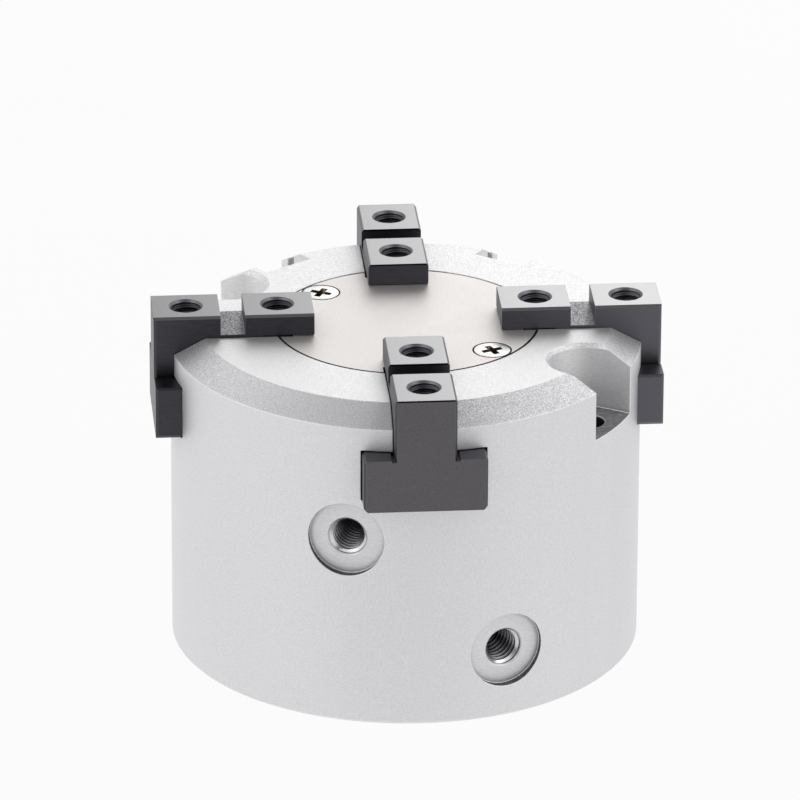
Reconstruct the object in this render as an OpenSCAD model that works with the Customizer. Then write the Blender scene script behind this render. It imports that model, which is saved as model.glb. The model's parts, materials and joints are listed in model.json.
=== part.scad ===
// Pneumatic centric gripper with four jaws driven by one wedge cam.
// Frame: +Z up, origin at the centre of the base, jaws along +X, +Y, -X and -Y, shown open.
// The piston stands at the top of its stroke; as it goes down the cam draws the jaws inwards.

/* [Cylinder] */
// Bore of the cylinder
bore_d = 40; // [36:1:44]
// Travel of the piston between its bumpers
piston_stroke = 6; // [5:0.5:7]
// Height of the piston
piston_h = 9.6; // [9:0.2:12]
// Diameter of the piston rod
rod_d = 12; // [11:0.5:13]
// Diameter of the rod's threaded foot in the piston
rod_foot_d = 8; // [6:0.5:9]
// Wall between the cylinder and the cam well, around the rod
partition_t = 4; // [3.8:0.2:8]
// Height of each bumper above the wall that holds it
bumper_stand = 1.2; // [0.8:0.1:2]
// Depth of the seat that holds each bumper
bumper_seat = 0.8; // [0.5:0.1:1]
// Width of the bumper rings
bumper_w = 4; // [3:0.5:5]
// Wall between the rod seal's groove and the bumper's seat
seal_wall = 0.9; // [0.7:0.1:1.5]

/* [Seals] */
// Radial depth of the piston seal
seal_depth = 2.5; // [2:0.1:3]
// Height of the piston seal
seal_h = 2.5; // [2:0.1:2.8]
// Height of the magnet ring
magnet_h = 2.4; // [2:0.1:2.8]
// Radial depth of the rod seal
rod_seal_depth = 2.3; // [2:0.1:2.6]
// Height of the rod seal
rod_seal_h = 2.1; // [1.8:0.1:2.4]
// Section of the end cap's O-ring
cap_ring_d = 1.7; // [1.5:0.1:2]
// Section of the square ring under the rod's shoulder
gasket_w = 1.2; // [1:0.1:1.5]

/* [End cap] */
// Thickness of the end cap
cap_t = 4.5; // [4:0.5:8]
// Step in radius that the end cap seats against
cap_step = 1; // [0.8:0.1:1.4]
// Depth of the centring recess below the retaining ring
mouth_depth = 1.9; // [1.2:0.1:4]
// Thickness of the retaining ring
ring_t = 1.5; // [1:0.1:2]
// Radial depth of the retaining ring's groove
ring_bite = 1.2; // [0.8:0.1:1.4]
// Radial width of the retaining ring
ring_w = 3.4; // [3:0.2:4]

/* [Body] */
// Wall between the bore and the outside
wall_t = 11; // [10:0.5:14]
// Width of the chamfer around the top, across
top_chamfer_w = 4; // [2:0.5:5]
// Height of the chamfer around the top
top_chamfer_h = 2.2; // [1:0.1:3]
// Chamfer around the foot
foot_chamfer = 0.4; // [0.2:0.1:1]

/* [Jaws] */
// Travel of each jaw
jaw_stroke = 4; // [3.4:0.2:4.6]
// How far an open jaw stands out of the body's side
jaw_reach = 2.4; // [1:0.2:4]
// Radius of the clear circle between the open jaws
clear_r = 12.3; // [11:0.1:13]
// Width of a jaw above its head
stem_w = 8; // [7.6:0.2:9]
// Width of a jaw's T head
head_w = 16; // [14:0.5:17]
// Height of a jaw's T head
head_h = 7.2; // [6:0.2:8]
// Body thickness over the heads
deck_t = 5.2; // [4.6:0.1:6]
// Height of the pads above the body
pad_h = 3; // [2:0.5:5]
// Length of each jaw's outer pad
pad_len = 8.8; // [8:0.2:9.6]
// Length of the groove between a jaw's pads
pad_groove_len = 3.2; // [2.4:0.2:3.6]
// Height of the floor between the pads above the body
pad_groove_z = 0.4; // [0.3:0.1:1]
// Chamfer along the bottom of a jaw's head, and in its slot
jaw_chamfer = 0.5; // [0.2:0.1:0.8]
// Chamfer on a jaw's other edges
jaw_edge = 0.3; // [0.2:0.1:0.5]
// Width of the relief beside the stem
relief_w = 0.4; // [0.3:0.1:1]
// Depth of the relief beside the stem
relief_t = 0.3; // [0.2:0.1:0.8]

/* [Wedge cam] */
// Height of the cam
cam_h = 5.6; // [5:0.2:8]
// Distance from the axis to a wedge face at the cam's top
cam_top_r = 8.8; // [8.6:0.1:10]
// Radius of the cam's round core
cam_core_r = 8.5; // [8:0.1:8.6]
// Lip that holds a jaw's key, measured across
cam_lip = 1.6; // [1.2:0.1:1.8]
// Thickness of a jaw's key, measured across
key_t = 2; // [1.6:0.1:2.2]
// Width of a jaw's key
key_w = 4.8; // [4:0.2:5]
// Width of the neck that joins the key to the jaw
neck_w = 2.4; // [2:0.2:3]
// Diameter of the bolt that holds the cam
cam_bolt_d = 4; // [3:0.5:4]
// Length of that bolt under its head
cam_bolt_len = 9; // [7:1:12]
// Height of the spigot that centres the cam on the rod
spigot_h = 0.8; // [0.5:0.1:1]
// Width of the rod's shoulder around that spigot
rod_shoulder = 2.4; // [2:0.1:3]

/* [Cover plate] */
// Diameter of the cover plate
plate_d = 35; // [33:0.5:38]
// Thickness of the cover plate
plate_t = 2; // [1.8:0.1:3]
// Chamfer around the cover plate
plate_edge = 0.2; // [0.1:0.05:0.4]
// Diameter of the cover screws
screw_d = 2.5; // [2:0.5:3]
// Diameter of the cover screws' heads
screw_head_d = 5.1; // [4.6:0.1:5.6]
// Length of the cover screws, head included
screw_len = 6; // [5:0.5:8]
// Width of plate left outside the screws' heads
screw_rim = 0.15; // [0.1:0.05:0.5]

/* [Mounting] */
// Distance of the bolt circle from the body's side
bolt_inset = 4.25; // [3.8:0.05:4.4]
// Diameter of the two through holes
bolt_hole_d = 4.8; // [4.2:0.1:5.5]
// Width of the notch over each through hole
notch_w = 10; // [9:0.5:11]
// Depth of the notches below the top
notch_depth = 8.85; // [6:0.05:14]
// Chamfer around a notch's mouth
notch_edge = 0.5; // [0.2:0.1:0.8]
// Wall between a notch and the jaw slot beside it
notch_wall = 1.2; // [1:0.1:2]
// Thread diameter of the holes in the base
base_thread_d = 4; // [3:0.5:4]
// Depth of the holes in the base
base_hole_depth = 8; // [6:1:12]
// Countersink around the holes in the base
base_mouth = 0.25; // [0.1:0.05:0.5]
// Thread diameter of the holes in the pads
finger_thread_d = 4; // [3:0.5:4]
// Distance between the two holes in a jaw
finger_pitch = 12; // [11.6:0.1:12.4]
// Depth of the outer hole in each jaw
finger_hole_depth = 8; // [6:0.5:8.5]
// Countersink around each of those holes
finger_mouth = 0.28; // [0.1:0.02:0.4]

/* [Air ports] */
// Thread diameter of the ports
port_thread_d = 5; // [4:0.5:5]
// Depth of the ports' thread
port_depth = 7; // [5:0.5:8]
// Diameter of the flat around each port
port_face_d = 10.2; // [8:0.2:11]
// How deep that flat is sunk into the body's side
port_face_sink = 1.1; // [0.6:0.1:1.4]
// Countersink around each port
port_mouth = 0.2; // [0.1:0.05:0.4]
// Diameter of the drilling from a port to the cylinder
port_air_d = 2; // [1.6:0.1:2.4]
// Height of the opening side's drilling above the end cap
open_port_rise = 0.4; // [0.2:0.1:0.6]
// Angle from the front jaw to the opening side's port
open_port_angle = 21; // [18:1:30]
// Angle from the front jaw to the closing side's port
close_port_angle = -19; // [-30:1:-17]

/* [Switch grooves] */
// Width of the grooves for position switches
switch_w = 7.5; // [6:0.5:8]
// Depth of those grooves
switch_depth = 6.5; // [5:0.1:6.6]
// Distance of the side rebates from the groove's mouth
rebate_inset = 1.6; // [1.2:0.1:2]
// Width of the side rebates
rebate_w = 1.3; // [0.8:0.1:1.5]
// Depth of the side rebates
rebate_depth = 0.8; // [0.5:0.1:1]
// Angle from the back jaw to each groove
switch_angle = 35; // [33:1:40]

/* [Clearances] */
// Between a jaw and its slot, above and below
slide_gap = 0.1; // [0.05:0.05:0.2]
// Between a jaw and its slot, at each side
side_gap = 0.15; // [0.1:0.05:0.2]
// Between a key and its slot in the cam
key_gap = 0.05; // [0.03:0.01:0.1]
// Between the cam and what is over, under and beside it
cam_gap = 0.2; // [0.15:0.05:0.3]
// Between the pads and the cover plate
pad_gap = 0.15; // [0.1:0.05:0.3]
// Around the cover plate
plate_gap = 0.15; // [0.1:0.05:0.3]
// Between rings or caps and the bore that they seat in
seat_gap = 0.05; // [0.03:0.01:0.08]
// Between the rod and its bore
rod_gap = 0.08; // [0.05:0.01:0.1]
// Between the piston and its bore
piston_gap = 0.1; // [0.05:0.01:0.1]
// Between a screw and the thread that it is in
thread_gap = 0.03; // [0.02:0.01:0.05]
// Around screws and their heads in plain holes
hole_gap = 0.1; // [0.05:0.05:0.2]
// Thread left free past a screw's end
thread_spare = 0.5; // [0.3:0.1:1]

/* [Hidden] */
$fn = 96;
// Cuts run past the faces that they open by this much
over = 1;
// The jaws' directions around the axis, and the two screws' and two notches' first sides
RIGHT = 0;
BACK = 90;
LEFT = 180;
FRONT = 270;
JAW_SIDES = [RIGHT, BACK, LEFT, FRONT];

// Radii
bore_r = bore_d / 2;
body_r = bore_r + wall_t;
cap_bore_r = bore_r + cap_step;
ring_groove_r = cap_bore_r + ring_bite;
rod_r = rod_d / 2;
rod_bore_r = rod_r + rod_gap;
piston_r = bore_r - piston_gap;
bolt_circle_r = body_r - bolt_inset;
plate_r = plate_d / 2;
plate_seat_r = plate_r + plate_gap;
bumper_in_r = rod_r + rod_seal_depth + seal_wall;
bumper_out_r = bumper_in_r + bumper_w;
// The well is wider than the cam by half as much again as the gap above and below it
well_gap = 1.5 * cam_gap;
well_r = cam_core_r + well_gap;

// Heights, from the base up
cap_z = mouth_depth + ring_t + 2 * seat_gap;
cap_top = cap_z + cap_t;
chamber_top = cap_top + 2 * bumper_stand + piston_h + piston_stroke;
well_floor = chamber_top + partition_t;
cam_z = well_floor + cam_gap + piston_stroke;
cam_top = cam_z + cam_h;
plate_z = cam_top + cam_gap;
body_h = plate_z + plate_t;
slot_top = body_h - deck_t;
slot_floor = slot_top - head_h - 2 * slide_gap;
head_z = slot_floor + slide_gap;
head_top = head_z + head_h;
piston_top = chamber_top - bumper_stand;
piston_z = piston_top - piston_h;
notch_floor = body_h - notch_depth;
open_port_z = cap_top + port_air_d / 2 + open_port_rise;
close_port_z = chamber_top;

// The piston's grooves leave three lands of equal height, and the seals in walls lie half way along them
land_h = (piston_h - seal_h - magnet_h - 4 * seat_gap) / 3;
magnet_z = piston_z + land_h + seat_gap;
seal_z = piston_top - land_h - seat_gap - seal_h;
seal_in_r = bore_r - seal_depth;
rod_seal_z = chamber_top + (partition_t - rod_seal_h) / 2;
cap_ring_z = cap_z + cap_t / 2;

// Jaws, measured outwards from the axis with the jaws open
jaw_out = body_r + jaw_reach;
jaw_top = body_h + pad_h;
jaw_under_pad = body_h + pad_gap;
groove_out = jaw_out - pad_len;
hole_out = groove_out + pad_len / 2;
hole_in = hole_out - finger_pitch;
// The stem starts this far past the inner hole, and the rest of the inner pad hangs over the cover plate
hole_wall = 0.35;
stem_in = hole_in + finger_thread_d / 2 + hole_wall;
head_in = head_w / 2 + side_gap + jaw_stroke;
tongue_in = stem_w / 2 + side_gap + jaw_stroke;
slot_half = head_w / 2 + side_gap;
stem_slot_half = stem_w / 2 + slide_gap;

// The wedge: the jaws move by slope for each unit of the piston
slope = jaw_stroke / piston_stroke;
cam_bottom_r = cam_top_r + slope * cam_h;
cam_arm_w = stem_w - cam_gap;
arm_well_r = cam_bottom_r + well_gap;
face_gap = 2 * key_gap;
key_root = cam_top_r - cam_lip - key_gap - key_t;
// The keys end where those of two closed jaws side by side would come this close
key_apart = 0.3;
key_top = cam_top - max(0, key_w / 2 + key_apart + jaw_stroke - key_root) / slope;

// Screws and bolts
screw_r = plate_r - screw_head_d / 2 - screw_rim;
screw_head_h = (screw_head_d - screw_d) / 2;
screw_sides = [FRONT + 45, BACK + 45];
bolt_head_d = 1.75 * cam_bolt_d;
bolt_head_h = 0.7 * cam_bolt_d;
bolt_seat_z = cam_top - bolt_head_h - hole_gap;
bolt_end_z = bolt_seat_z - cam_bolt_len;
spigot_r = rod_r - rod_shoulder;

// The notches stand beside the right and left jaws' slots, one wall away
notch_angle = asin((slot_half + notch_wall + notch_w / 2) / bolt_circle_r);
notch_sides = [RIGHT - notch_angle, LEFT - notch_angle];

// Distance from the axis to the wedge faces at height z, with the jaws open
function face_at(z) = cam_top_r + slope * (cam_top - z);

// ---- Shapes that repeat ----

// A disc or ring between two heights
module ring(z0, z1, outer_r, inner_r = 0) {
    translate([0, 0, z0]) difference() {
        cylinder(h = z1 - z0, r = outer_r);
        if (inner_r > 0) translate([0, 0, -over]) cylinder(h = z1 - z0 + 2 * over, r = inner_r);
    }
}

// A block from u0 to u1 along X, w wide across X, between two heights
module block(u0, u1, w, z0, z1) {
    translate([u0, -w / 2, z0]) cube([u1 - u0, w, z1 - z0]);
}

// An outline in X and Z, extruded w wide about the XZ plane
module upright(w) {
    rotate([90, 0, 0]) linear_extrude(height = w, center = true) children();
}

// An outline across X, with its second axis up, extruded from u0 to u1 along X
module along(u0, u1) {
    translate([u0, 0, 0]) rotate([90, 0, 90]) linear_extrude(height = u1 - u0) children();
}

// A slab that leans with the wedge faces, from in to out of them, between two heights
module leaning(in, out, w, z0, z1) {
    upright(w) polygon([
        [face_at(z0) + in, z0], [face_at(z0) + out, z0],
        [face_at(z1) + out, z1], [face_at(z1) + in, z1],
    ]);
}

// A threaded hole down from the origin, at the thread's diameter, with a countersunk mouth and drill point
module threaded_hole(d, depth, mouth) {
    point = d / 2 * tan(31);
    translate([0, 0, -depth]) cylinder(h = depth + over, r = d / 2);
    translate([0, 0, -mouth]) cylinder(h = mouth + over, r1 = d / 2, r2 = d / 2 + mouth + over);
    translate([0, 0, -depth - point]) cylinder(h = point, r1 = 0, r2 = d / 2);
}

// ---- Body ----

module body() {
    color("gainsboro") difference() {
        rotate_extrude() polygon([
            [0, 0], [body_r - foot_chamfer, 0], [body_r, foot_chamfer],
            [body_r, body_h - top_chamfer_h], [body_r - top_chamfer_w, body_h], [0, body_h],
        ]);
        cylinder_bores();
        cam_well();
        for (side = JAW_SIDES) rotate(side) jaw_slot();
        for (side = notch_sides) rotate(side) bolt_notch();
        for (side = JAW_SIDES) rotate(side) base_hole();
        for (side = screw_sides) rotate(side) screw_hole();
        for (turn = [-switch_angle, switch_angle]) rotate(BACK + turn) switch_groove();
        rotate(FRONT + open_port_angle) port(open_port_z);
        rotate(FRONT + close_port_angle) port(close_port_z);
    }
}

// Everything turned around the axis: cap bore, ring groove, cylinder, rod bore and their grooves
module cylinder_bores() {
    ring(-over, cap_top, cap_bore_r);
    ring(mouth_depth, cap_z, ring_groove_r);
    ring(cap_top - over, chamber_top, bore_r);
    ring(chamber_top - over, well_floor + over, rod_bore_r);
    ring(chamber_top - over, chamber_top + bumper_seat, bumper_out_r, bumper_in_r);
    ring(rod_seal_z - seat_gap, rod_seal_z + rod_seal_h + seat_gap, rod_r + rod_seal_depth + seat_gap);
}

// The well that the cam works in, open at the top for the cover plate
module cam_well() {
    ring(well_floor, body_h, well_r);
    ring(plate_z, body_h + over, plate_seat_r);
    for (side = JAW_SIDES) rotate(side) block(0, arm_well_r, 2 * stem_slot_half, well_floor, body_h);
}

// The T slot that guides one jaw, with its lower corners relieved
module jaw_slot() {
    corner = jaw_chamfer;
    along(0, body_r + over) polygon([
        [-slot_half + corner, slot_floor], [slot_half - corner, slot_floor], [slot_half, slot_floor + corner],
        [slot_half, slot_top], [stem_slot_half, slot_top], [stem_slot_half, body_h + over],
        [-stem_slot_half, body_h + over], [-stem_slot_half, slot_top], [-slot_half, slot_top],
        [-slot_half, slot_floor + corner],
    ]);
}

// A through hole from the base, with the notch for its bolt head open to the side
module bolt_notch() {
    translate([bolt_circle_r, 0, -over]) cylinder(h = body_h + 2 * over, r = bolt_hole_d / 2);
    translate([bolt_circle_r, 0, notch_floor]) cylinder(h = notch_depth + over, r = notch_w / 2);
    translate([bolt_circle_r, 0, body_h - notch_edge])
        cylinder(h = notch_edge + over, r1 = notch_w / 2, r2 = notch_w / 2 + notch_edge + over);
    block(bolt_circle_r, body_r + over, notch_w, notch_floor, body_h + over);
}

module base_hole() {
    translate([bolt_circle_r, 0, 0]) rotate([180, 0, 0])
        threaded_hole(base_thread_d, base_hole_depth, base_mouth);
}

module screw_hole() {
    depth = screw_len - plate_t + thread_spare;
    translate([screw_r, 0, plate_z - depth]) cylinder(h = depth + over, r = screw_d / 2 + thread_gap);
}

// A groove for a position switch, with a rebate in each side that holds the switch's clamp
module switch_groove() {
    rebate_out = body_r - rebate_inset;
    block(body_r - switch_depth, body_r + over, switch_w, -over, body_h + over);
    block(rebate_out - rebate_w, rebate_out, switch_w + 2 * rebate_depth, -over, body_h + over);
}

// An air port: a flat sunk into the side, a tapped hole, and a drilling on to the cylinder
module port(z) {
    face = body_r - port_face_sink;
    translate([face, 0, z]) rotate([0, 90, 0]) {
        cylinder(h = port_face_sink + over, r = port_face_d / 2);
        threaded_hole(port_thread_d, port_depth, port_mouth);
    }
    translate([bore_r - over, 0, z]) rotate([0, 90, 0])
        cylinder(h = face - port_depth - bore_r + over, r = port_air_d / 2);
}

// ---- Cover plate and its screws ----

module cover_plate() {
    notch_in = stem_in - jaw_stroke - cam_gap;
    color("linen") difference() {
        union() {
            ring(plate_z, body_h - plate_edge, plate_r);
            translate([0, 0, body_h - plate_edge])
                cylinder(h = plate_edge, r1 = plate_r, r2 = plate_r - plate_edge);
        }
        for (side = JAW_SIDES) rotate(side)
            block(notch_in, plate_r + over, 2 * (stem_slot_half + slide_gap), plate_z - over, body_h + over);
        for (side = screw_sides) rotate(side) translate([screw_r, 0, 0]) {
            ring(plate_z - over, body_h, screw_d / 2 + hole_gap);
            translate([0, 0, body_h - screw_head_h]) screw_cone(seat_gap);
        }
    }
}

// The countersunk cone of a screw's head, grown by gap, up to or past the plate's face
module screw_cone(gap) {
    top_r = screw_head_d / 2 + gap;
    cylinder(h = screw_head_h, r1 = top_r - screw_head_h, r2 = top_r);
    if (gap > 0) translate([0, 0, screw_head_h]) cylinder(h = over, r = top_r);
}

module cover_screw(side) {
    color("silver") rotate(side) translate([screw_r, 0, body_h - screw_len]) {
        cylinder(h = screw_len - screw_head_h, r = screw_d / 2);
        translate([0, 0, screw_len - screw_head_h]) screw_cone(0);
    }
}

// ---- Jaws ----

module jaw(side) {
    color("dimgray") rotate(side) difference() {
        union() {
            jaw_head();
            jaw_stem();
            jaw_key();
        }
        translate([hole_out, 0, jaw_top]) threaded_hole(finger_thread_d, finger_hole_depth, finger_mouth);
        translate([hole_in, 0, jaw_top]) threaded_hole(finger_thread_d, pad_h, finger_mouth);
    }
}

// Plan of a bar that ends at the jaw's outer face, with its two outer corners chamfered
module bar_plan(u0, w) {
    polygon([
        [u0, -w / 2], [jaw_out - jaw_edge, -w / 2], [jaw_out, -w / 2 + jaw_edge],
        [jaw_out, w / 2 - jaw_edge], [jaw_out - jaw_edge, w / 2], [u0, w / 2],
    ]);
}

// What lies inside the wedge face is cut away, so that the jaw's end follows the cam
module wedge_cut(w) {
    leaning(-body_r, face_gap, w, head_z - over, cam_top + over);
}

module jaw_head() {
    c = jaw_chamfer;
    e = jaw_edge;
    half = head_w / 2;
    relief = stem_w / 2 + relief_w;
    difference() {
        intersection() {
            along(0, jaw_out) polygon([
                [-half + c, head_z], [half - c, head_z], [half, head_z + c], [half, head_top - e],
                [half - e, head_top], [relief, head_top], [relief, head_top - relief_t],
                [-relief, head_top - relief_t], [-relief, head_top], [-half + e, head_top],
                [-half, head_top - e], [-half, head_z + c],
            ]);
            linear_extrude(height = jaw_top) bar_plan(head_in, head_w);
        }
        wedge_cut(head_w + over);
    }
}

// The stem rises through the head, runs under the cover plate to the cam, and over it as the pads
module jaw_stem() {
    e = jaw_edge;
    half = stem_w / 2;
    under_plate = plate_z - slide_gap;
    difference() {
        intersection() {
            along(0, jaw_out) polygon([
                [-half, head_z], [half, head_z], [half, jaw_top - e], [half - e, jaw_top],
                [-half + e, jaw_top], [-half, jaw_top - e],
            ]);
            linear_extrude(height = jaw_top) bar_plan(tongue_in, stem_w);
        }
        wedge_cut(stem_w + over);
        block(0, stem_in, stem_w + over, under_plate, jaw_under_pad);
        block(0, clear_r, stem_w + over, under_plate, jaw_top + over);
        block(groove_out - pad_groove_len, groove_out, stem_w + over, body_h + pad_groove_z, jaw_top + over);
    }
}

// The key that the cam holds: a bar in the cam's slot, and the neck that joins it to the jaw
module jaw_key() {
    leaning(-cam_lip - key_gap - key_t, -cam_lip - key_gap, key_w, head_z, key_top);
    leaning(-cam_lip - face_gap, 2 * face_gap, neck_w, head_z, key_top);
}

// ---- Cam, bolt, rod and piston, at the top of the stroke ----

module wedge_cam() {
    color("slategray") difference() {
        union() {
            ring(cam_z, cam_top, cam_core_r);
            for (side = JAW_SIDES) rotate(side) upright(cam_arm_w) polygon([
                [0, cam_z], [cam_bottom_r, cam_z], [cam_top_r, cam_top], [0, cam_top],
            ]);
        }
        for (side = JAW_SIDES) rotate(side) key_slot();
        ring(cam_z - over, cam_top + over, cam_bolt_d / 2 + hole_gap);
        ring(bolt_seat_z, cam_top + over, bolt_head_d / 2 + hole_gap);
        ring(cam_z - over, cam_z + spigot_h, spigot_r + seat_gap);
    }
}

// The leaning T slot in the cam, with the key's clearance all round
module key_slot() {
    bar = key_t + 2 * key_gap;
    leaning(-cam_lip - bar, -cam_lip, key_w + 2 * key_gap, cam_z - over, cam_top + over);
    leaning(-cam_lip - key_gap, over, neck_w + 2 * key_gap, cam_z - over, cam_top + over);
}

// A socket screw: its hexagon is as deep as half the head
module cam_bolt() {
    socket_r = 0.36 * cam_bolt_d;
    color("silver") difference() {
        union() {
            ring(bolt_seat_z, bolt_seat_z + bolt_head_h, bolt_head_d / 2);
            ring(bolt_end_z, bolt_seat_z + over, cam_bolt_d / 2);
        }
        translate([0, 0, bolt_seat_z + bolt_head_h / 2]) cylinder(h = bolt_head_h, r = socket_r, $fn = 6);
    }
}

module piston_rod() {
    color("silver") difference() {
        union() {
            ring(piston_top, cam_z, rod_r);
            ring(cam_z - over, cam_z + spigot_h - seat_gap, spigot_r);
            ring(piston_z, piston_top + over, rod_foot_d / 2);
        }
        ring(bolt_end_z - thread_spare, cam_top, cam_bolt_d / 2 + thread_gap);
    }
}

module rod_gasket() {
    color("black") ring(piston_top - gasket_w, piston_top, rod_foot_d / 2 + gasket_w, rod_foot_d / 2);
}

module piston() {
    edge = 0.6;
    color("lightgray") difference() {
        rotate_extrude() polygon([
            [0, piston_z], [piston_r - edge, piston_z], [piston_r, piston_z + edge],
            [piston_r, piston_top - edge], [piston_r - edge, piston_top], [0, piston_top],
        ]);
        ring(piston_z - over, piston_top + over, rod_foot_d / 2);
        ring(piston_top - gasket_w, piston_top + over, rod_foot_d / 2 + gasket_w);
        ring(seal_z - seat_gap, seal_z + seal_h + seat_gap, bore_r, seal_in_r - seat_gap);
        ring(magnet_z - seat_gap, magnet_z + magnet_h + seat_gap, bore_r, seal_in_r - seat_gap);
    }
}

// A lip at each edge of the seal touches the bore; the middle is hollowed
module piston_seal() {
    out = bore_r - seat_gap;
    hollow = seal_h / 4;
    color("black") translate([0, 0, seal_z]) rotate_extrude() polygon([
        [seal_in_r, 0], [out, 0], [out, hollow], [out - hollow, seal_h / 2],
        [out, seal_h - hollow], [out, seal_h], [seal_in_r, seal_h],
    ]);
}

module magnet_ring() {
    color("black") ring(magnet_z, magnet_z + magnet_h, piston_r - 2 * seat_gap, seal_in_r);
}

// ---- Seals, bumpers and end cap that stay in the body ----

// A lip seal whose channel opens towards the cylinder's pressure
module rod_seal() {
    in = rod_r + seat_gap;
    out = rod_r + rod_seal_depth;
    mid = (in + out) / 2;
    half = rod_seal_depth / 8;
    color("black") translate([0, 0, rod_seal_z]) rotate_extrude() polygon([
        [in, 0], [mid - half, 0], [mid, rod_seal_h / 2], [mid + half, 0],
        [out, 0], [out, rod_seal_h], [in, rod_seal_h],
    ]);
}

// A rubber ring seated in the wall from z and standing up or down out of it
module bumper(z0, z1) {
    color("black") ring(z0, z1, bumper_out_r - seat_gap, bumper_in_r + seat_gap);
}

module end_cap() {
    cap_r = cap_bore_r - seat_gap;
    edge = 0.4;
    color("lightgray") difference() {
        rotate_extrude() polygon([
            [0, cap_z], [cap_r - edge, cap_z], [cap_r, cap_z + edge],
            [cap_r, cap_top - edge], [cap_r - edge, cap_top], [0, cap_top],
        ]);
        ring(cap_top - bumper_seat, cap_top + over, bumper_out_r, bumper_in_r);
        ring(cap_ring_z - cap_ring_d / 2 - seat_gap, cap_ring_z + cap_ring_d / 2 + seat_gap,
            cap_bore_r, cap_bore_r - cap_ring_d - 3 * seat_gap);
    }
}

module cap_gasket() {
    color("black") translate([0, 0, cap_ring_z]) rotate_extrude()
        translate([cap_bore_r - seat_gap - cap_ring_d / 2, 0]) circle(d = cap_ring_d, $fn = 32);
}

// An internal snap ring, open at the front, with an eye at each end for the pliers
module retaining_ring() {
    outer_r = ring_groove_r - seat_gap;
    inner_r = outer_r - ring_w;
    eye_r = 2.2;
    eye_hole_r = 0.9;
    eye_turn = 15;
    // Each end of the ring stops this far past the middle of its eye
    past_eye = 1.2;
    opening = 2 * (inner_r * sin(eye_turn) - past_eye);
    z = cap_z - ring_t;
    color("dimgray") difference() {
        union() {
            ring(z, cap_z, outer_r, inner_r);
            for (turn = [-eye_turn, eye_turn]) rotate(FRONT + turn)
                translate([inner_r, 0, 0]) ring(z, cap_z, eye_r);
        }
        rotate(FRONT) block(inner_r - 2 * eye_r, outer_r + over, opening, z - over, cap_z + over);
        for (turn = [-eye_turn, eye_turn]) rotate(FRONT + turn)
            translate([inner_r, 0, 0]) ring(z - over, cap_z + over, eye_hole_r);
    }
}

body();
cover_plate();
cover_screw(screw_sides[0]);  // cover_screw_front
cover_screw(screw_sides[1]);  // cover_screw_back
jaw(RIGHT);  // jaw_right
jaw(BACK);  // jaw_back
jaw(LEFT);  // jaw_left
jaw(FRONT);  // jaw_front
wedge_cam();
cam_bolt();
piston_rod();
rod_gasket();
piston();
piston_seal();
magnet_ring();
rod_seal();
bumper(piston_top + seat_gap, chamber_top + bumper_seat);  // upper_bumper
bumper(cap_top - bumper_seat, cap_top + bumper_stand - seat_gap);  // lower_bumper
end_cap();
cap_gasket();
retaining_ring();
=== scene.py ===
"""Four-jaw centric gripper: finishes, threads, screws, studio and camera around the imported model."""
import json
import math

import bmesh
import bpy
from mathutils import Matrix, Vector


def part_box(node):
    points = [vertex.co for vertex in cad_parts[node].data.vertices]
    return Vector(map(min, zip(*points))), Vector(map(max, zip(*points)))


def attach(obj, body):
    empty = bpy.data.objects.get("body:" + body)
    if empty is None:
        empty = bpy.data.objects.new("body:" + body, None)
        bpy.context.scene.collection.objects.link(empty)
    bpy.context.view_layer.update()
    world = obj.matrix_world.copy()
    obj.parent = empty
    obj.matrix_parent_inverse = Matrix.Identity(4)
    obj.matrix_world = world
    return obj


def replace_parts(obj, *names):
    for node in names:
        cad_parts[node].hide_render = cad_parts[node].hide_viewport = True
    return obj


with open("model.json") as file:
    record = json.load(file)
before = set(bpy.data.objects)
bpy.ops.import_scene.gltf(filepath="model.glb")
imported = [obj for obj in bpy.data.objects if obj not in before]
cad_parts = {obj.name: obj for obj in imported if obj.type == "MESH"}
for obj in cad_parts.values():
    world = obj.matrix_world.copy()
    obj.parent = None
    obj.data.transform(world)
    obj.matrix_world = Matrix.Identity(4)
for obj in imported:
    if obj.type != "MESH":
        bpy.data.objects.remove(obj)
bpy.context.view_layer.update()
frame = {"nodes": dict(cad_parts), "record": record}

MM = 0.001


# ---- Places and sizes ----

NODES = frame["nodes"]
MOUNTS = {m["name"]: m for m in frame["record"]["mounts"]}
OPENINGS = {o["name"]: o["box_m"] for o in frame["record"]["physics"]["openings"]}
JAWS = {"right": Vector((1, 0, 0)), "back": Vector((0, 1, 0)),
        "left": Vector((-1, 0, 0)), "front": Vector((0, -1, 0))}  # the way out along each jaw

BODY_R, _, BODY_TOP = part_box("body")[1]
JAW_OUT, _, JAW_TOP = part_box("jaw_right")[1]
PLATE_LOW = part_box("cover_plate")[0].z
PLATE_R = max(v.co.xy.length for v in NODES["cover_plate"].data.vertices)
BASE_CIRCLE_R = MOUNTS["base_holes"]["dims"]["pcd_mm"] / 2 * MM
PORT_SINK = 1.1 * MM  # how far the flat around a port lies inside the body's side

# Limits that part one finish from the next, each just past the face that it picks out
LEANING, LEVEL = 0.5, 0.9  # least height of the normal of a face that leans back, and of a flat top
SIDE_IN = BODY_R - 0.06 * MM  # inside the body's side
CHAMFER_LOW = BODY_TOP - 2.3 * MM  # under the chamfer around the body's top
NOTCH_LOW = BODY_TOP - 9.05 * MM  # under the floors of the notches
BOLT_HOLE_R = 2.6 * MM  # around a through bolt's hole
PORT_FLAT_IN = BODY_R - 1.5 * MM  # inside the flats around the ports
PORT_FLAT_R = 5.4 * MM  # around such a flat
SEAT_R = PLATE_R + 0.4 * MM  # around the plate's seat
SEAT_LOW, SEAT_HIGH = PLATE_LOW - 0.1 * MM, PLATE_LOW + 0.1 * MM  # under the seat, and over its foot
PAD_LOW = JAW_TOP - 0.05 * MM  # under the pads' ground tops
RIM_LOW = JAW_TOP - 0.22 * MM  # under the dark rims of the pads
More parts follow.
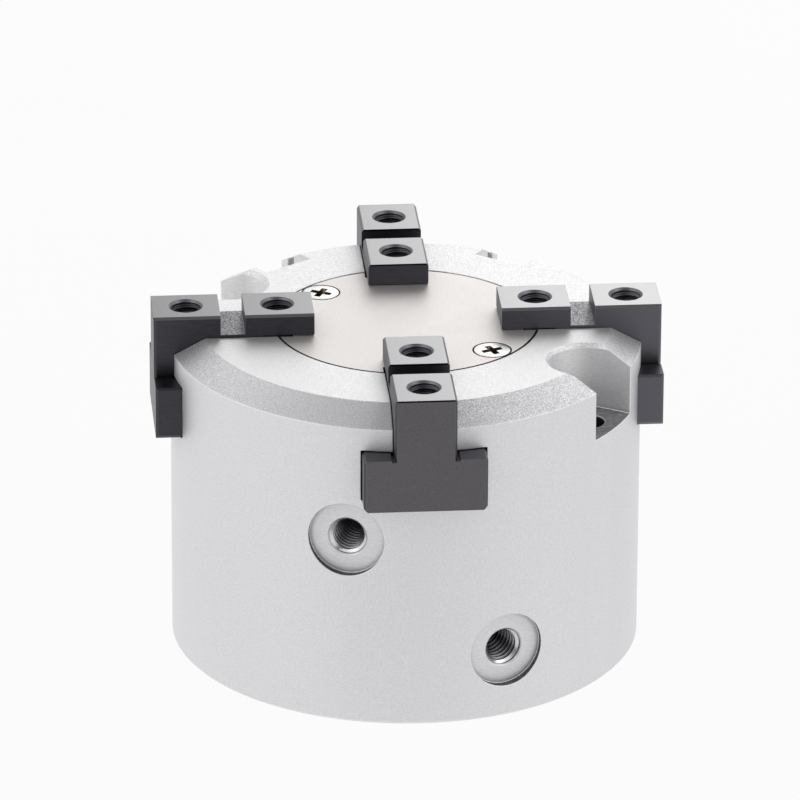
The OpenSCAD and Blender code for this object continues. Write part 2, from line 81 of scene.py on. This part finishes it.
MOUTH_LOW = JAW_TOP - 0.3 * MM  # under the countersinks of the pads' holes
JAW_END_IN = JAW_OUT - 0.05 * MM  # inside the jaws' outer ends
PALE_IN = JAW_OUT - 12 * MM  # where the jaws start to turn paler

# The axes of the holes that have a finish of their own, each as a point and a direction
RIGHT_NOTCH = sum((Vector((*corner[:2], 0)) for corner in OPENINGS["bolt_notch_right"]), Vector()) / 2
BOLT_HOLES = [(side * RIGHT_NOTCH, (0, 0, 1)) for side in (1, -1)]
PORTS = [(MOUNTS[name]["pos_m"], MOUNTS[name]["axis"]) for name in ("open_port", "close_port")]


# ---- Camera ----

def pointed(way):
    """The turn that points a camera or a lamp along a direction."""
    return way.to_track_quat("-Z", "Y").to_matrix().to_4x4()


def make_camera():
    """A long lens a metre away, a little to the left and 24 degrees up."""
    data = bpy.data.cameras.new("camera")
    data.sensor_width = 36
    data.lens = 371.24
    data.shift_x, data.shift_y = -0.00638, 0.0922
    data.clip_start, data.clip_end = 0.05, 50
    camera = bpy.data.objects.new("camera", data)
    place = Vector((-81.3, -996.4, 466.6)) * MM
    aim = Vector((0, 0, 22)) * MM
    roll = Matrix.Rotation(math.radians(0.255), 4, "Z")
    camera.matrix_world = Matrix.Translation(place) @ pointed(aim - place) @ roll
    bpy.context.scene.collection.objects.link(camera)
    bpy.context.scene.camera = camera


make_camera()


# ---- Materials ----

def colour(code):
    """Linear colour of a hex sRGB code such as D0D2D4."""
    parts = [int(code[i:i + 2], 16) / 255 for i in (0, 2, 4)]
    return tuple(p / 12.92 if p <= 0.04045 else ((p + 0.055) / 1.055) ** 2.4 for p in parts) + (1,)


def add(tree, kind, inputs=None, **settings):
    """Adds a shader node with its settings and inputs.

    inputs maps a socket's name, or its number where names repeat, to a value, to an output, or to a node for that
    node's first output. A Mix of colours has its colours at 6 and 7.
    """
    node = tree.nodes.new("ShaderNode" + kind)
    for name, value in settings.items():
        setattr(node, name, value)
    for key, value in (inputs or {}).items():
        if isinstance(value, bpy.types.Node):
            value = next(output for output in value.outputs if output.enabled)
        if isinstance(value, bpy.types.NodeSocket):
            tree.links.new(value, node.inputs[key])
        else:
            node.inputs[key].default_value = value
    return node


def per_mm(size):
    """Texture scale at which one unit of the pattern is size mm."""
    return 1 / (size * MM)


def spot(tree):
    """Where a point of the surface is, how far from the body's axis, and how far its face looks up and outward."""
    place = add(tree, "TexCoord").outputs["Object"]
    x, y, z = add(tree, "SeparateXYZ", {0: place}).outputs
    flat = add(tree, "CombineXYZ", {0: x, 1: y})
    radius = add(tree, "VectorMath", {0: flat}, operation="LENGTH")
    face = add(tree, "NewGeometry").outputs["True Normal"]
    up = add(tree, "SeparateXYZ", {0: face}).outputs[2]
    away = add(tree, "VectorMath", {0: flat}, operation="NORMALIZE")
    outward = add(tree, "VectorMath", {0: away, 1: face}, operation="DOT_PRODUCT")
    return {"place": place, "x": x, "y": y, "z": z, "radius": radius, "up": up, "outward": outward}


def off_axis(tree, place, holes):
    """How far a point of the surface is from the nearest of some holes' axes, each given as a point and a direction."""
    nearest = None
    for middle, axis in holes:
        away = add(tree, "VectorMath", {0: place, 1: middle}, operation="SUBTRACT")
        across = add(tree, "VectorMath", {0: away, 1: axis}, operation="CROSS_PRODUCT")
        span = add(tree, "VectorMath", {0: across}, operation="LENGTH")
        nearest = add(tree, "Math", {0: nearest, 1: span}, operation="MINIMUM") if nearest else span
    return nearest


def mottled(tree, pattern, low, high, near=0.3, far=0.7):
    """From one colour or value to another as a pattern goes from near to far."""
    if not isinstance(low, tuple):
        return add(tree, "MapRange", {0: pattern, 1: near, 2: far, 3: low, 4: high})
    share = add(tree, "MapRange", {0: pattern, 1: near, 2: far})
    return add(tree, "Mix", {0: share, 6: low, 7: high}, data_type="RGBA")


def region(tree, *pairs):
    """1 where the first of every pair is greater than the second, and 0 elsewhere."""
    inside = None
    for more, less in pairs:
        test = add(tree, "Math", {0: more, 1: less}, operation="GREATER_THAN")
        inside = add(tree, "Math", {0: inside, 1: test}, operation="MULTIPLY") if inside else test
    return inside


def overlaid(tree, tone, *layers):
    """A colour with other colours over it, the last on top, each as strong as its share."""
    for share, over in layers:
        tone = add(tree, "Mix", {0: share, 6: tone, 7: over}, data_type="RGBA")
    return tone


def edges(tree, width, strength):
    """The normal rounded over width mm at edges, and a share that reaches strength on those edges, where wear and a
    painted highlight go.
    """
    bent, straight = 0.88, 0.975  # how far the rounded normal agrees with the face's, on an edge and off it
    rounded = add(tree, "Bevel", {"Radius": width * MM}, samples=8)
    flat = add(tree, "NewGeometry").outputs["True Normal"]
    match = add(tree, "VectorMath", {0: rounded, 1: flat}, operation="DOT_PRODUCT")
    return rounded, add(tree, "MapRange", {0: match, 1: bent, 2: straight, 3: strength, 4: 0})


def corners(tree, reach, strength):
    """How far a point lies in a corner or a hole of its own piece, within reach mm, up to strength: the share of
    painted shade there.
    """
    clear, hidden = 0.9, 0.35  # how open a point is out of any corner, and deep in one
    open_share = add(tree, "AmbientOcclusion", {"Distance": reach * MM}, samples=8, only_local=True).outputs["AO"]
    return add(tree, "MapRange", {0: open_share, 1: clear, 2: hidden, 3: 0, 4: strength})


def material(name, make):
    """A material whose surface takes its inputs from make."""
    mat = bpy.data.materials.new(name)
    mat.use_nodes = True
    tree = mat.node_tree
    tree.nodes.clear()
    add(tree, "OutputMaterial", {"Surface": add(tree, "BsdfPrincipled", make(tree))})
    return mat


def metal(base, dark, grain, roughness, relief, stretch=(1, 1, 1), edge=0.06):
    """A metal with grains of grain mm in two colours, drawn out along each axis, and a relief of relief mm."""
    def make(tree):
        place = add(tree, "Mapping", {0: spot(tree)["place"], "Scale": tuple(1 / s for s in stretch)})
        fine = add(tree, "TexNoise", {"Vector": place, "Scale": per_mm(grain)})
        broad = add(tree, "TexNoise", {"Vector": place, "Scale": per_mm(9), "Detail": 3})
        rounded, _ = edges(tree, edge, 0)
        return {"Base Color": mottled(tree, fine, colour(dark), colour(base)), "Metallic": 1.0,
                "Roughness": add(tree, "Math", {0: mottled(tree, fine, roughness + 0.04, roughness - 0.04),
                                                1: mottled(tree, broad, -0.03, 0.03)}, operation="ADD"),
                "Normal": add(tree, "Bump", {"Height": fine, "Distance": relief * MM, "Normal": rounded})}
    return make


def anodised(tree):
    """Clear anodised aluminium, bead blasted on its top and chamfer, satin on its side and milled in its cuts.

    Blasting leaves small dimples that each tilt their own way, so the faces sparkle: white grains on grey. Real ones
    are about 0.04 mm across; they are drawn at 0.085 mm, so that they show.
    """
    at = spot(tree)
    upward, steep = (at["up"], LEANING), (LEANING, at["up"])
    in_seat = (SEAT_R, at["radius"])
    side = region(tree, (at["radius"], SIDE_IN))
    top = region(tree, upward, (at["z"], CHAMFER_LOW))
    bevel = region(tree, upward, (LEVEL, at["up"]), (at["z"], CHAMFER_LOW))
    cut_floor = region(tree, upward, (CHAMFER_LOW, at["z"]))
    seat = region(tree, in_seat, (at["z"], SEAT_LOW), upward)
    seat_wall = region(tree, in_seat, (at["radius"], PLATE_R), steep, (at["z"], SEAT_HIGH))
    bolt_hole = region(tree, (BOLT_HOLE_R, off_axis(tree, at["place"], BOLT_HOLES)), (NOTCH_LOW, at["z"]))
    port = region(tree, (at["radius"], PORT_FLAT_IN), (PORT_FLAT_R, off_axis(tree, at["place"], PORTS)), (0, at["y"]))
    port_wall = region(tree, (port, 0.5), (0.5, at["outward"]))
    dimple = add(tree, "TexVoronoi", {"Vector": at["place"], "Scale": per_mm(0.085)})
    speck = add(tree, "SeparateColor", {0: dimple.outputs["Color"]}).outputs[0]
    satin = add(tree, "TexNoise", {"Vector": at["place"], "Scale": per_mm(0.2), "Detail": 4})
    lined = add(tree, "Mapping", {0: at["place"], "Scale": (1 / 6, 1 / 6, 1)})
    milled = add(tree, "TexNoise", {"Vector": lined, "Scale": per_mm(0.12)})
    rounded, wear_and_glint = edges(tree, 0.2, 0.9)
    tone = overlaid(tree, mottled(tree, milled, colour("E0DFE0"), colour("EFEEEF")),
                    (cut_floor, mottled(tree, milled, colour("77787A"), colour("A0A1A3"))),
                    (port, mottled(tree, milled, colour("D6D6D8"), colour("E4E4E6"))),
                    # painted shade in the body's own corners and holes
                    (corners(tree, 0.9, 0.4), colour("36363A")),
                    # the seat's floor, deep in the gap around the plate, is painted grey as painted shade
                    (seat_wall, colour("FAFAFA")), (seat, colour("8E8E90")),
                    # painted shade on the walls of the flats around the ports
                    (port_wall, mottled(tree, milled, colour("545458"), colour("76767A"))),
                    # painted shade inside the through bolts' holes
                    (bolt_hole, colour("48484C")),
                    (side, mottled(tree, satin, colour("DCDBDD"), colour("E7E6E8"))),
                    (top, mottled(tree, speck, colour("E5E5E6"), colour("F4F4F4"), 0, 1)),
                    (bevel, mottled(tree, speck, colour("CECED1"), colour("FCFCFD"), 0.3, 1)),
                    # edges painted near white: wear, and a painted highlight
                    (wear_and_glint, colour("FAFAFA")))
    lean = add(tree, "VectorMath", {0: dimple.outputs["Color"], 1: (0.5, 0.5, 0.5)}, operation="SUBTRACT")
    steepness = add(tree, "Math", {0: top, 1: 0.26}, operation="MULTIPLY")
    tilted = add(tree, "VectorMath", {0: lean, 3: steepness}, operation="SCALE")
    dimpled = add(tree, "VectorMath", {0: rounded, 1: tilted}, operation="ADD")
    normal = add(tree, "VectorMath", {0: dimpled}, operation="NORMALIZE")
    rough = add(tree, "Mix", {0: top, 2: mottled(tree, satin, 0.62, 0.54), 3: mottled(tree, speck, 0.6, 0.5, 0, 1)})
    return {"Base Color": tone, "Metallic": 1.0, "Roughness": rough,
            "Normal": add(tree, "Bump", {"Height": satin, "Distance": 0.006 * MM, "Normal": normal})}


def black_steel(tree):
    """Black oxide steel: near black where milled, mid grey on the ground pads, and mottled on their blasted floor.

    The jaws are painted paler towards their outer ends, and paler further to the right as painted light from that side.
    The floor's grains are about 0.05 mm across and are drawn at 0.14 mm, so that they show.
    """
    at = spot(tree)
    across = add(tree, "Math", {0: at["x"]}, operation="ABSOLUTE")
    along = add(tree, "Math", {0: at["y"]}, operation="ABSOLUTE")
    reach = add(tree, "Math", {0: across, 1: along}, operation="MAXIMUM")
    level = (at["up"], LEVEL)
    pad = region(tree, level, (at["z"], PAD_LOW))
    floor = region(tree, level, (at["z"], BODY_TOP), (PAD_LOW, at["z"]))
    rim = region(tree, (LEANING, at["up"]), (at["z"], RIM_LOW))
    mouth = region(tree, (at["up"], LEANING), (LEVEL, at["up"]), (at["z"], MOUTH_LOW))
    end = region(tree, (reach, JAW_END_IN))
    outer = add(tree, "MapRange", {0: reach, 1: PALE_IN, 2: JAW_OUT, 3: 0, 4: 0.7})
    dimple = add(tree, "TexVoronoi", {"Vector": at["place"], "Scale": per_mm(0.14)})
    speck = add(tree, "SeparateColor", {0: dimple.outputs["Color"]}).outputs[0]
    grain = add(tree, "TexNoise", {"Vector": at["place"], "Scale": per_mm(0.12), "Detail": 4})
    flat = add(tree, "Mapping", {0: at["place"], "Scale": (1 / 12, 1 / 12, 1)})
    streak = add(tree, "TexNoise", {"Vector": flat, "Scale": per_mm(0.15), "Detail": 3})
    rounded, wear_and_glint = edges(tree, 0.12, 0.28)
    # shade grows from left to right: it paints the sides, heads and pads of the jaws on the right paler, as painted
    # light from that side
    shade = add(tree, "MapRange", {0: at["x"], 1: -BODY_R, 2: BODY_R, 3: 0, 4: 1})
    paler = add(tree, "Math", {0: shade, 1: 0.7}, operation="MULTIPLY")
    ground = overlaid(tree, mottled(tree, grain, colour("8A8A8C"), colour("929293")), (shade, colour("ACACAD")))
    head = overlaid(tree, mottled(tree, grain, colour("424145"), colour("4E4D52")), (shade, colour("605F65")))
    tone = overlaid(tree, mottled(tree, streak, colour("313136"), colour("3F3F45")),
                    (paler, colour("65646B")), (outer, head),
                    (end, mottled(tree, grain, colour("5B595C"), colour("656366"))),
                    (floor, mottled(tree, speck, colour("313133"), colour("AEAEB1"), 0, 1)),
                    # edges painted light grey: wear, and a painted highlight
                    # the rim just under the pads' top edges is painted near black as painted shade
                    (wear_and_glint, colour("A8A8A8")), (pad, ground), (mouth, colour("6E6E72")), (rim, colour("161618")))
    rough = add(tree, "Mix", {0: pad, 2: mottled(tree, grain, 0.46, 0.38), 3: mottled(tree, grain, 0.34, 0.28)})
    height = add(tree, "Mix", {0: floor, 2: grain, 3: speck})
    return {"Base Color": tone, "Metallic": 1.0, "Roughness": rough,
            "Normal": add(tree, "Bump", {"Height": height, "Distance": 0.006 * MM, "Normal": rounded})}


def plate_steel(tree):
    """Fine ground stainless steel, painted dark on its rim and in its countersinks as painted shade in the gap around
    the plate and under the screw heads.
    """
    at = spot(tree)
    ground = add(tree, "Mapping", {0: at["place"], "Scale": (1, 1 / 30, 1)})
    lines = add(tree, "TexNoise", {"Vector": ground, "Scale": per_mm(0.08), "Detail": 3})
    broad = add(tree, "TexNoise", {"Vector": at["place"], "Scale": per_mm(8), "Detail": 3})
    rounded, _ = edges(tree, 0.05, 0)
    face = region(tree, (at["up"], LEVEL))
    # all but the flat face is painted dark: painted shade on the rim and in the countersinks
    tone = overlaid(tree, colour("343333"), (face, mottled(tree, lines, colour("E2DEDC"), colour("E8E4E2"))))
    rough = add(tree, "Math", {0: mottled(tree, lines, 0.56, 0.5), 1: mottled(tree, broad, -0.02, 0.02)},
                operation="ADD")
    return {"Base Color": tone, "Metallic": 1.0, "Roughness": rough,
            "Normal": add(tree, "Bump", {"Height": lines, "Distance": 0.001 * MM, "Normal": rounded})}


def zinc(tree):
    """Bright zinc plate, dull and dark in the recess, where the plating is thin, and dark on the rim as painted shade
    of the gap around the head.
    """
    at = spot(tree)
    grain = add(tree, "TexNoise", {"Vector": at["place"], "Scale": per_mm(0.25), "Detail": 3})
    rounded, _ = edges(tree, 0.05, 0)
    face = region(tree, (at["up"], 0.95))
    # all but the flat top is dark: painted shade on the rim, and the thin plating in the recess
    tone = overlaid(tree, mottled(tree, grain, colour("2E2A28"), colour("7A6E64")),
                    (face, mottled(tree, grain, colour("E2E2DE"), colour("F4F4F0"))))
    return {"Base Color": tone, "Metallic": 1.0, "Roughness": mottled(tree, grain, 0.4, 0.3),
            "Normal": add(tree, "Bump", {"Height": grain, "Distance": 0.006 * MM, "Normal": rounded})}


def nitrile(tree):
    """Moulded nitrile rubber, near black, with a faint grey bloom."""
    place = spot(tree)["place"]
    skin = add(tree, "TexNoise", {"Vector": place, "Scale": per_mm(0.3), "Detail": 3})
    bloom = add(tree, "TexNoise", {"Vector": place, "Scale": per_mm(5), "Detail": 3})
    return {"Base Color": mottled(tree, bloom, colour("161617"), colour("232324")),
            "Roughness": mottled(tree, skin, 0.62, 0.5),
            "Normal": add(tree, "Bump", {"Height": skin, "Distance": 0.01 * MM})}


def tapped(tree):
    """Aluminium with a cut thread, bright at the hole's mouth and darker further in, as painted shade."""
    at = spot(tree)
    grain = add(tree, "TexNoise", {"Vector": at["place"], "Scale": per_mm(0.1), "Detail": 3})
    rounded, wear_and_glint = edges(tree, 0.06, 0.35)
    tone = overlaid(tree, mottled(tree, grain, colour("DCDCDE"), colour("ECECEE")),
                    # painted shade deeper in the hole
                    (corners(tree, 4, 1), mottled(tree, grain, colour("303036"), colour("46464C"))),
                    # the thread's edges painted mid grey: wear, and a painted highlight in the dark
                    (wear_and_glint, colour("8A8A8E")))
    return {"Base Color": tone, "Metallic": 1.0, "Roughness": mottled(tree, grain, 0.36, 0.28),
            "Normal": add(tree, "Bump", {"Height": grain, "Distance": 0.002 * MM, "Normal": rounded})}


FINISHES = {
    "anodised": material("clear_anodised_aluminium", anodised),
    "plate_steel": material("ground_stainless_steel", plate_steel),
    "zinc": material("bright_zinc_plate", zinc),
    "black_steel": material("black_oxide_steel", black_steel),
    "tapped": material("tapped_aluminium", tapped),
    # Ground after hardening: mid grey with a soft gloss
    "tool_steel": material("hardened_tool_steel", metal("77777A", "5E5E61", 0.2, 0.34, 0.003, edge=0.08)),
    # Chrome ground round and round: fine rings and nearly a mirror
    "rod_steel": material("hard_chrome_plated_steel", metal("DADBDD", "CFD0D2", 0.15, 0.12, 0.001, (20, 20, 1), 0.05)),
    # Turned and left bare: pale, with fine grains
    "bare_aluminium": material("turned_aluminium", metal("D2D3D5", "C2C3C5", 0.12, 0.32, 0.003, edge=0.08)),
    "nitrile": material("nitrile_rubber", nitrile),
    # Magnet powder in a binder: dark and dull
    "magnet": material("bonded_magnet", metal("3A3A3C", "2C2C2E", 0.25, 0.55, 0.006)),
}
SLOT_OF = {p["node"]: p["material_slot"] for p in frame["record"]["subparts"]}


def dress(obj, slot):
    """Puts the finish of a slot on an object."""
    obj.data.materials.clear()
    obj.data.materials.append(FINISHES[slot])


for name, obj in NODES.items():
    dress(obj, SLOT_OF[name])


# ---- New pieces ----

M4, M5 = (4, 0.7), (5, 0.8)  # outer diameter and pitch of a thread, mm
CRISP = math.radians(30)  # edges that bend more than this stay sharp


def piece(name, mesh, body, slot, finish=None):
    """Links a mesh as a piece that rides on a body, in the finish of one of the record's slots or in its own."""
    obj = bpy.data.objects.new(name, mesh)
    bpy.context.scene.collection.objects.link(obj)
    dress(obj, finish or slot)
    mesh.shade_smooth()
    mesh.set_sharp_from_angle(angle=CRISP)
    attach(obj, body)
    return obj


def finished(bm, name):
    """Turns a bmesh into a mesh."""
    mesh = bpy.data.meshes.new(name)
    bm.to_mesh(mesh)
    bm.free()
    return mesh


def polar(radius, share, height):
    """A point at a radius from the Z axis, a share of a full turn around it."""
    angle = 2 * math.pi * share
    return Vector((radius * math.cos(angle), radius * math.sin(angle), height))


def thread_mesh(name, place, axis, major, pitch, depth, mouth, drilling=0.0, steps=48):
    """Internal 60 degree thread: a helical strip in a hole that opens at place and runs depth along -axis.

    place is in metres and the sizes are in mm. mouth is the radius of the hole's countersink at its face; the thread
    starts where it meets the wall. A drill point closes it, down to the radius of a further drilling; with None it
    stays open.
    """
    gap = 0.03  # how far the thread stands off the plain hole's wall
    root_r, crest_r = major / 2 - gap, (major - 1.0825 * pitch) / 2
    start = mouth - major / 2
    shape = [(0.0, crest_r), (0.25, crest_r), (0.5625, root_r), (0.6875, root_r)]  # share of the pitch, radius
    turns = math.ceil((depth - start) / pitch) + 1
    turned = Vector(axis).to_track_quat("Z", "X").to_matrix()
    point_slope = math.tan(math.radians(31))  # of a drill with a 118 degree point
    rows = []
    for row in range(turns * len(shape) + 1):
        turn, part = divmod(row, len(shape))
        along, radius = shape[part]
        ring = []
        for step in range(steps + 1):
            down = start - pitch + (turn + along + step / steps) * pitch
            down = min(max(down, start), depth)
            ring.append(polar(max(radius, mouth - down), step / steps, -down))
        rows.append(ring)
    if drilling is not None:
        down = depth + (root_r - drilling) * point_slope - gap
        rows.append([polar(drilling, step / steps, -down) for step in range(steps + 1)])
    bm = bmesh.new()
    rows = [[bm.verts.new(Vector(place) + turned @ point * MM) for point in ring] for ring in rows]
    for upper, lower in zip(rows, rows[1:]):
        for i in range(steps):
            bm.faces.new((upper[i], upper[i + 1], lower[i + 1], lower[i]))
    nearly = 1e-7
    bmesh.ops.remove_doubles(bm, verts=bm.verts, dist=nearly)
    bmesh.ops.dissolve_degenerate(bm, dist=nearly, edges=bm.edges)
    return finished(bm, name)


def make_threads():
    """The threads that fingers, air fittings and mounting screws go into."""
    up, down = (0, 0, 1), (0, 0, -1)
    apart = 12 * MM  # from one hole of a jaw to the other
    for jaw, out in JAWS.items():
        middle = Vector(MOUNTS[f"finger_holes_{jaw}"]["pos_m"])
        middle.z = JAW_TOP
        for end, shift, depth, drilling in (("inner", -apart / 2, 2.83, None), ("outer", apart / 2, 7.97, 0.0)):
            name = f"thread_{jaw}_{end}"
            mesh = thread_mesh(name, middle + out * shift, up, *M4, depth, mouth=2.28, drilling=drilling)
            piece(name, mesh, f"{jaw}_jaw", "black_steel")
    for port in ("open_port", "close_port"):
        out = Vector(MOUNTS[port]["axis"])
        place = Vector(MOUNTS[port]["pos_m"])
        place += out * (BODY_R - PORT_SINK - place.xy.length)
        name = f"thread_{port}"
        mesh = thread_mesh(name, place, out, *M5, depth=6.97, mouth=2.7, drilling=1.0, steps=64)
        piece(name, mesh, "housing", "anodised", "tapped")
    for jaw, out in JAWS.items():
        name = f"thread_base_{jaw}"
        mesh = thread_mesh(name, out * BASE_CIRCLE_R, down, *M4, depth=7.97, mouth=2.25)
        piece(name, mesh, "housing", "anodised", "tapped")


make_threads()


def screw_mesh(name, low, high):
    """Countersunk screw without its recess, in the box of the CAD screw."""
    centre = (low + high) / 2
    axis = Vector((centre.x, centre.y, 0))
    head_r = (high.x - low.x) / 2
    shank_r, tip, rim, rounding, top = 1.25 * MM, 0.3 * MM, 0.12 * MM, 0.08 * MM, high.z
    head_h = head_r - shank_r
    profile = [(0, low.z), (shank_r - tip, low.z), (shank_r, low.z + tip), (shank_r, top - head_h),
               (head_r - rim, top - rim), (head_r - rim, top - 0.03 * MM), (head_r - rim - rounding, top), (0, top)]
    steps = 48
    bm = bmesh.new()
    rings = [[bm.verts.new(axis + polar(r, i / steps, z)) for i in range(steps if r else 1)] for r, z in profile]
    for lower, upper in zip(rings, rings[1:]):
        for i in range(steps):
            j = (i + 1) % steps
            loop = [lower[i % len(lower)], lower[j % len(lower)], upper[j % len(upper)], upper[i % len(upper)]]
            bm.faces.new(list(dict.fromkeys(loop)))
    bmesh.ops.recalc_face_normals(bm, faces=bm.faces)
    return finished(bm, name)


def recess_mesh(centre, top, turn):
    """Two crossed tapered blades, which cut a screw's recess."""
    ends = ((top - 1.35 * MM, 0.62, 0.24), (top + 0.3 * MM, 1.62, 0.47))  # height, half length and half width in mm
    bm = bmesh.new()
    for angle in (turn, turn + 90):
        spin = Matrix.Translation((centre.x, centre.y, 0)) @ Matrix.Rotation(math.radians(angle), 4, "Z")
        low, high = ([bm.verts.new(spin @ Vector((x * half_long * MM, y * half_wide * MM, z)))
                      for x, y in ((-1, -1), (1, -1), (1, 1), (-1, 1))] for z, half_long, half_wide in ends)
        bm.faces.new(reversed(low))
        bm.faces.new(high)
        for i in range(4):
            j = (i + 1) % 4
            bm.faces.new((low[i], low[j], high[j], high[i]))
    return finished(bm, "recess")


def make_screws():
    """The plate's two screws, each turned as it came to rest, in place of the plain CAD ones."""
    for node, turn in (("cover_screw_front", 22), ("cover_screw_back", 63)):
        low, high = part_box(node)
        name = f"cross_recess_{node.rsplit('_', 1)[1]}"
        blank = bpy.data.objects.new(name + "_blank", screw_mesh(name + "_blank", low, high))
        tool = bpy.data.objects.new("recess", recess_mesh((low + high) / 2, high.z, turn))
        for obj in (blank, tool):
            bpy.context.scene.collection.objects.link(obj)
        cut = blank.modifiers.new("recess", "BOOLEAN")
        cut.operation, cut.solver, cut.object, cut.use_self = "DIFFERENCE", "EXACT", tool, True
        done = bpy.data.meshes.new_from_object(blank.evaluated_get(bpy.context.evaluated_depsgraph_get()))
        for obj in (blank, tool):
            bpy.data.objects.remove(obj)
        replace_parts(piece(name, done, "housing", "zinc"), node)


make_screws()


# ---- Studio ----

def soft_lamp(name, place, aim, size, power):
    """A round soft box at place that lights towards aim; size in metres, power in watts."""
    data = bpy.data.lights.new(name, "AREA")
    data.shape, data.size, data.energy = "DISK", size, power
    lamp = bpy.data.objects.new(name, data)
    lamp.matrix_world = Matrix.Translation(place) @ pointed(Vector(aim) - Vector(place))
    bpy.context.scene.collection.objects.link(lamp)


def background_ray(tree):
    """1 for rays that should see the plain white background: the camera's, mirrored and refracted ones."""
    path = add(tree, "LightPath").outputs
    seen = add(tree, "Math", {0: path["Is Camera Ray"], 1: path["Is Glossy Ray"]}, operation="MAXIMUM")
    return add(tree, "Math", {0: seen, 1: path["Is Transmission Ray"]}, operation="MAXIMUM")


def make_world():
    """White all round, but dark overhead and behind the camera as in a room, and 1.0 strong where it shows.

    The dark parts give the front chamfer and the sides of the body their shade.
    """
    world = bpy.data.worlds.new("studio")
    bpy.context.scene.world = world
    world.use_nodes = True
    tree = world.node_tree
    tree.nodes.clear()
    _, back, up = add(tree, "SeparateXYZ", {0: add(tree, "TexCoord").outputs["Generated"]}).outputs
    white, dark_wall, dark_ceiling = (1, 1, 1, 1), (0.02, 0.02, 0.02, 1), (0.03, 0.03, 0.03, 1)
    walls = mottled(tree, back, dark_wall, white, -0.95, -0.78)
    dome = overlaid(tree, walls, (add(tree, "MapRange", {0: up, 1: 0.76, 2: 0.93}), dark_ceiling))
    shown = overlaid(tree, dome, (add(tree, "LightPath").outputs["Is Camera Ray"], white))
    strength = mottled(tree, background_ray(tree), 0.75, 1.0, 0, 1)
    add(tree, "OutputWorld", {"Surface": add(tree, "Background", {"Color": shown, "Strength": strength})})


def make_floor():
    """Pale floor that shows plain white, but for a tenth of its own shade, which keeps the gripper's shadow."""
    half = 3.0
    mesh = bpy.data.meshes.new("floor")
    mesh.from_pydata([(-half, -half, 0), (half, -half, 0), (half, half, 0), (-half, half, 0)], [], [(0, 1, 2, 3)])
    floor = bpy.data.objects.new("floor", mesh)
    floor.location.z = -0.05 * MM  # clear of the base, so that the two faces don't mix
    bpy.context.scene.collection.objects.link(floor)
    mat = bpy.data.materials.new("pale_floor")
    mat.use_nodes = True
    tree = mat.node_tree
    tree.nodes.clear()
    place = add(tree, "TexCoord").outputs["Object"]
    cloud = add(tree, "TexNoise", {"Vector": place, "Scale": per_mm(60), "Detail": 3})
    lit = add(tree, "BsdfDiffuse", {"Color": mottled(tree, cloud, colour("F2F2F2"), colour("F6F6F6"))})
    white = add(tree, "Emission", {"Color": (1, 1, 1, 1), "Strength": 1.0})
    share = add(tree, "Math", {0: background_ray(tree), 1: 0.9}, operation="MULTIPLY")
    add(tree, "OutputMaterial", {"Surface": add(tree, "MixShader", {0: share, 1: lit, 2: white})})
    mesh.materials.append(mat)


make_world()
make_floor()
soft_lamp("key", (-0.8, -0.3, 0.95), (0, 0, 0.02), size=0.8, power=2.6)
soft_lamp("fill", (0.8, -0.3, 0.95), (0, 0, 0.02), size=0.8, power=2.6)
soft_lamp("rim", (0.15, 0.36, 0.21), (0, 0, 0.04), size=0.3, power=0.21)

bpy.context.scene.view_settings.view_transform = "Standard"
